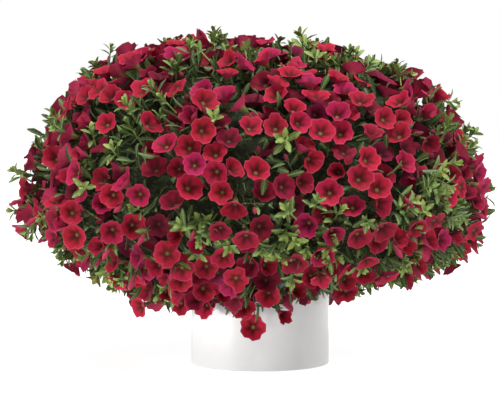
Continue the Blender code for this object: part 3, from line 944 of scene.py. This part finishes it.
def stem_mesh(path, radius, taper):
    """A tapering round stem along the path."""
    curve = bpy.data.curves.new("stem", "CURVE")
    curve.dimensions = "3D"
    curve.bevel_depth = radius
    curve.bevel_resolution = 1
    curve.use_fill_caps = True
    curve.resolution_u = 5
    spline = curve.splines.new("BEZIER")
    spline.bezier_points.add(len(path) - 1)
    for index, (knot, place) in enumerate(zip(spline.bezier_points, path)):
        knot.co = place
        knot.handle_left_type = knot.handle_right_type = "AUTO"
        knot.radius = 1.0 - taper * index / (len(path) - 1)
    carrier = bpy.data.objects.new("stem", curve)
    bpy.context.scene.collection.objects.link(carrier)
    bpy.context.view_layer.update()
    mesh = bpy.data.meshes.new_from_object(carrier.evaluated_get(bpy.context.evaluated_depsgraph_get()))
    bpy.data.objects.remove(carrier)
    bpy.data.curves.remove(curve)
    mesh.uv_layers.remove(mesh.uv_layers[0])
    mesh.polygons.foreach_set("material_index", [2] * len(mesh.polygons))
    mesh.polygons.foreach_set("use_smooth", [True] * len(mesh.polygons))
    return mesh


def main_path(spray):
    """Straight up out of the soil, clear of the pot's lip, and out into the middle of the thicket."""
    across = Vector((math.cos(spray.middle), math.sin(spray.middle), 0)) if spray.ring else Vector()
    root = across * spray.ring + Vector((0, 0, SOIL_TOP - 0.010))
    collar = across * spray.ring + Vector((0, 0, SOIL_TOP + 0.008))
    theta = 0.5 * (spray.low + spray.high) if spray.ring else 0.0
    end = face_point(theta, spray.middle, THICKET_DEPTH)
    if not spray.ring:
        return [root, collar, end]
    from_lip = STEM_RING - spray.ring
    rise = Vector((0, 0, POT_HEIGHT + 0.009 + 1.1 * from_lip))
    arch = across * (spray.ring + 0.006 + 0.5 * from_lip) + rise
    bend = (arch + end) / 2 + Vector((0, 0, 0.20 * (end - arch).length))
    if end.z < POT_HEIGHT:
        bend = across * (POT_RADIUS + 0.016) + Vector((0, 0, POT_HEIGHT))
    return [root, collar, arch, bend, end]


def add_part(spray, mesh):
    spray.foliage.from_mesh(mesh)
    bpy.data.meshes.remove(mesh)


for spray in sprays:
    add_part(spray, thicket_mesh(spray))
    path = main_path(spray)
    add_part(spray, stem_mesh(path, STEM_RADIUS, 0.35))
    for _ in range(SIDE_STEMS):
        theta = rng.uniform(spray.low, spray.high)
        phi = spray.middle + rng.uniform(-1, 1) * spray.half_turn
        tip = off_the_pot(face_point(theta, phi, 0.016), 0.006)
        half = (path[-1] + tip) / 2 + rng.uniform(-0.008, 0.004) * face_normal(theta, phi)
        add_part(spray, stem_mesh([path[-1], off_the_pot(half, 0.006), tip], SIDE_STEM_RADIUS, 0.4))


# Trailers: at the mound's lower edge thin shoots hang out of the leaves, and carry a bloom, a wilted one or a
# tuft each. Two blooms on long stalks hang lowest of all in front of the pot, one wide open and one closing.

TRAILERS = 150
TRAILER_RADIUS = 0.0007
TRAILERS_FROM = math.radians(84)
TRAILERS_TO = math.radians(118)

for theta, phi in spread(TRAILERS, 0.03, 4, low=TRAILERS_FROM, high=TRAILERS_TO):
    root = off_the_pot(face_point(theta, phi, 0.014), 0.012)
    tip = face_point(theta, phi, rng.uniform(-0.008, 0.002)) - Vector((0, 0, rng.uniform(0.0, 0.012)))
    tip = off_the_pot(tip, 0.018)
    bend = (root + tip) / 2 + Vector((0, 0, 0.003))
    look = (2 * (tip - bend).normalized() + face_normal(theta, phi) - Vector((0, 0, 0.3))).normalized()
    spray, kind = spray_at(theta, phi), rng.random()
    shape = rng.choice(OPEN if kind < 0.45 else WILTED if kind < 0.8 else TUFTS)
    end = tip - look * (root_depths.get(shape.name, BUD_ROOT) + 0.001)
    matrix = placed(tip, look, rng.uniform(0.85, 1.05))
    feelers = np.array([matrix @ vert.co for vert in shape.vertices])
    if in_cups(feelers) > 2 or (shape not in TUFTS and bare(matrix, shape)):
        continue
    if shape in TUFTS:
        stamp(spray.foliage, shape, matrix, (rng.uniform(0.4, 0.8), 0.0))
    else:
        set_bloom(spray, matrix, shape, (rng.uniform(0.4, 1.0), rng.uniform(0.05, 0.45)))
    add_part(spray, stem_mesh([root, bend, end], TRAILER_RADIUS, 0.2))
    for share in (0.35, 0.7):
        aside = (look + Vector([rng.gauss(0, 0.8) for _ in range(3)])).normalized()
        leaf = placed(root.lerp(end, share), aside, 0.8)
        stamp(spray.foliage, rng.choice(LEAVES), leaf, (rng.uniform(0.4, 0.7), 0.0))

for point, look, shape, size, tone in LOW_BLOOMS:
    spray = spray_at(*polar(point))
    set_bloom(spray, placed(point, look, size), shape, tone)
    stalk_end = point - look * size * (root_depths[shape.name] + STALK)
    above = off_the_pot(Vector((point.x, point.y + 0.012, 0.090)), 0.010)
    path = [above, off_the_pot(stalk_end + Vector((0, 0, 0.014)), 0.003), stalk_end]
    add_part(spray, stem_mesh(path, TRAILER_RADIUS, 0.2))


# The finished sprays: the blooms of each are one piece, and its leaves, stalks, stems and thicket another,
# which takes the place of the spray's plain solid.

for spray in sprays:
    new_piece(f"blooms_{spray.name}", spray.blooms, [petal])
    leafy = new_piece(f"foliage_{spray.name}", spray.foliage, [leaf_green, thicket, bark])
    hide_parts(f"spray_{spray.name}")


# The studio: a plain white floor under a bright, even sky. A broad soft sun stands high in front, with a
# softbox over the plant and one at the right, a narrow low spot on the pot from the front left, and a faint
# light on its right edge. The camera looks a little downwards from far in front.

FLOOR_SIZE = 12.0
FLOOR_GLOW = 0.88
SKY_LIGHT = 0.44
SPOT_BLEND = 0.6
SPOT_SOFTNESS = 0.12
CAMERA_AIM = Vector((-0.0109, 0.0, 0.1772))
CAMERA_DISTANCE = 2.3
CAMERA_RISE = math.radians(3.5)
CAMERA_LENS = 152.5

paper, start = new_finish(
    "white_floor", Roughness=0.9, Emission_Color=(1.0, 1.0, 1.0), Emission_Strength=FLOOR_GLOW
)
place = start.node("TexCoord", {}, {}, "Object")
feed(paper, Base_Color=place.grain(3.0).mix((0.34, 0.34, 0.34), (0.36, 0.36, 0.36)))
floor_bm = bmesh.new()
bmesh.ops.create_grid(floor_bm, x_segments=1, y_segments=1, size=FLOOR_SIZE / 2)
floor_mesh = bpy.data.meshes.new("floor")
floor_bm.to_mesh(floor_mesh)
floor_bm.free()
floor_mesh.materials.append(paper)
floor = bpy.data.objects.new("floor", floor_mesh)
bpy.context.scene.collection.objects.link(floor)

world = bpy.data.worlds.new("studio")
world.use_nodes = True
sky = Socket(world.node_tree)
seen = sky.node("LightPath", {}, {}, "Is Camera Ray")
background = world.node_tree.nodes["Background"]
world.node_tree.links.new((SKY_LIGHT + (1 - SKY_LIGHT) * seen).socket, background.inputs["Strength"])
background.inputs["Color"].default_value = (1.0, 1.0, 1.0, 1.0)
bpy.context.scene.world = world


def add_light(name, kind, place, aim, size, power):
    """A soft lamp that looks at its aim: a round softbox of that size, or a spot or a sun of that angle."""
    light = bpy.data.lights.new(name, kind)
    if kind == "AREA":
        light.shape = "DISK"
        light.size = size
    elif kind == "SPOT":
        light.spot_size = size
        light.spot_blend = SPOT_BLEND
        light.shadow_soft_size = SPOT_SOFTNESS
    else:
        light.angle = size
    light.energy = power
    lamp = bpy.data.objects.new(name, light)
    lamp.location = place
    lamp.rotation_euler = (Vector(aim) - Vector(place)).to_track_quat("-Z", "Y").to_euler()
    bpy.context.scene.collection.objects.link(lamp)


add_light("high_key", "SUN", (-0.05, -0.90, 2.4), (0, 0, 0.2), math.radians(30), 2.8)
add_light("overhead", "AREA", (0.0, -0.4, 2.2), (0, 0, 0.3), 1.2, 13.0)
add_light("right_fill", "AREA", (1.7, -0.9, 1.9), (0.15, 0, 0.25), 0.9, 16.0)
add_light("low_left", "SPOT", (-1.18, -0.83, 0.12), (0, 0, 0.05), math.radians(12), 71.0)
add_light("right_edge", "AREA", (1.1, 0.65, 0.22), (0, 0, 0.06), 0.3, 1.7)

lens = bpy.data.cameras.new("camera")
lens.lens = CAMERA_LENS
lens.sensor_width = 36
camera = bpy.data.objects.new("camera", lens)
away = Vector((0.0, -math.cos(CAMERA_RISE), math.sin(CAMERA_RISE)))
camera.location = CAMERA_AIM + CAMERA_DISTANCE * away
camera.rotation_euler = (-away).to_track_quat("-Z", "Y").to_euler()
bpy.context.scene.collection.objects.link(camera)
bpy.context.scene.camera = camera
bpy.context.scene.view_settings.view_transform = "Standard"
